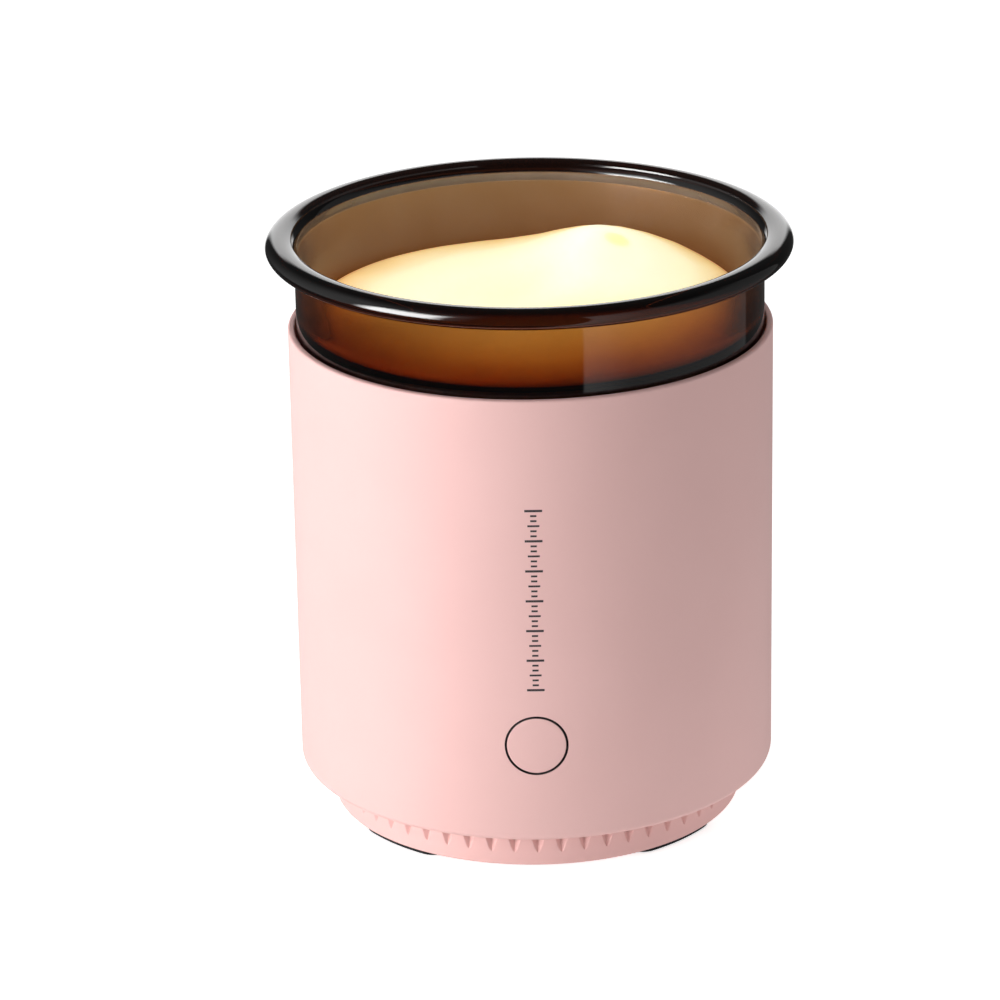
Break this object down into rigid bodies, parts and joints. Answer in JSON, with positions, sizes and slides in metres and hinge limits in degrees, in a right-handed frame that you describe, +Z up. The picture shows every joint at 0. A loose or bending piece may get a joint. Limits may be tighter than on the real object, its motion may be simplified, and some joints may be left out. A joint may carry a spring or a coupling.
{
  "type": "electric wax warmer",
  "caption": "Round pink electric wax warmer: a heated, lit well holds a lift-out amber glass pot with a rolled lip and solid scented wax; a push button sits low on the front.",
  "frame": {"origin": "centre of the base on the table, under the rubber feet", "axes": "+Z up along the round body's axis; -Y is the front, where the button is; +X is the viewer's right"},
  "size_m": [0.104, 0.104, 0.1193],
  "materials": {
    "soft_pink": "soft-touch matt pink plastic",
    "amber_glass": "clear amber glass, fire-polished lip",
    "cream_wax": "cream wax, soft and translucent, lit from below",
    "black_rubber": "matt black rubber",
    "steel": "zinc-plated steel screws",
    "clamp_steel": "pressed spring steel",
    "white_nylon": "heat-resistant white nylon",
    "silicone": "clear-grey silicone rubber",
    "cast_aluminium": "turned aluminium plate",
    "heater_ceramic": "grey ceramic heater stones",
    "ceramic_white": "white steatite spacers",
    "brass_can": "tinned brass cans and pins",
    "frosted_window": "frosted borosilicate disc",
    "reflector_white": "white reflector",
    "circuit_board": "green solder mask on glass-fibre board",
    "led_phosphor": "yellow phosphor over white light chips",
    "black_component": "black moulded component bodies",
    "capacitor_sleeve": "dark blue capacitor sleeve",
    "inductor_ferrite": "dark ferrite",
    "header_white": "white connector housings",
    "wire_red": "red silicone-sleeved heater leads",
    "wire_black": "black silicone-sleeved light leads",
    "socket_metal": "nickel-plated drawn steel",
    "stem_grey": "grey plunger"
  },
  "bodies": {
    "housing": {"outer_shell": "soft_pink", "base_cover": "soft_pink", "rubber_feet": "black_rubber", "base_screws": "steel", "inner_liner": "white_nylon", "long_posts": "white_nylon", "board_posts": "brass_can", "seat_gasket": "silicone", "heater_plate": "cast_aluminium", "plate_standoffs": "ceramic_white", "ptc_heaters": "heater_ceramic", "heater_clamp": "clamp_steel", "clamp_screws": "steel", "thermal_fuse": "brass_can", "thermistor": "brass_can", "light_window": "frosted_window", "light_reflector": "reflector_white", "led_board": "circuit_board", "led_chips": "led_phosphor", "main_board": "circuit_board", "board_screws": "steel", "control_chip": "black_component", "power_transistors": "black_component", "filter_capacitor": "capacitor_sleeve", "power_inductor": "inductor_ferrite", "wire_headers": "header_white", "heater_leads": "wire_red", "led_leads": "wire_black", "usb_socket_shell": "socket_metal", "usb_socket_tongue": "black_component", "button_bracket": "white_nylon", "bracket_screws": "steel", "button_board": "circuit_board", "button_board_screws": "steel", "button_header": "brass_can", "switch_body": "black_component"},
    "button": {"button_cap": "soft_pink", "switch_stem": "stem_grey"},
    "pot": {"glass_pot": "amber_glass", "wax_block": "cream_wax"}
  },
  "joints": [
    {"name": "button_press", "type": "slide", "parent": "housing", "child": "button", "axis": [0, 1, 0], "range_m": [0, 0.0005], "stiffness_N_per_m": 600, "springref_m": -0.001},
    {"name": "pot_lift", "type": "slide", "parent": "housing", "child": "pot", "axis": [0, 0, 1], "range_m": [0, 0.06]}
  ]
}
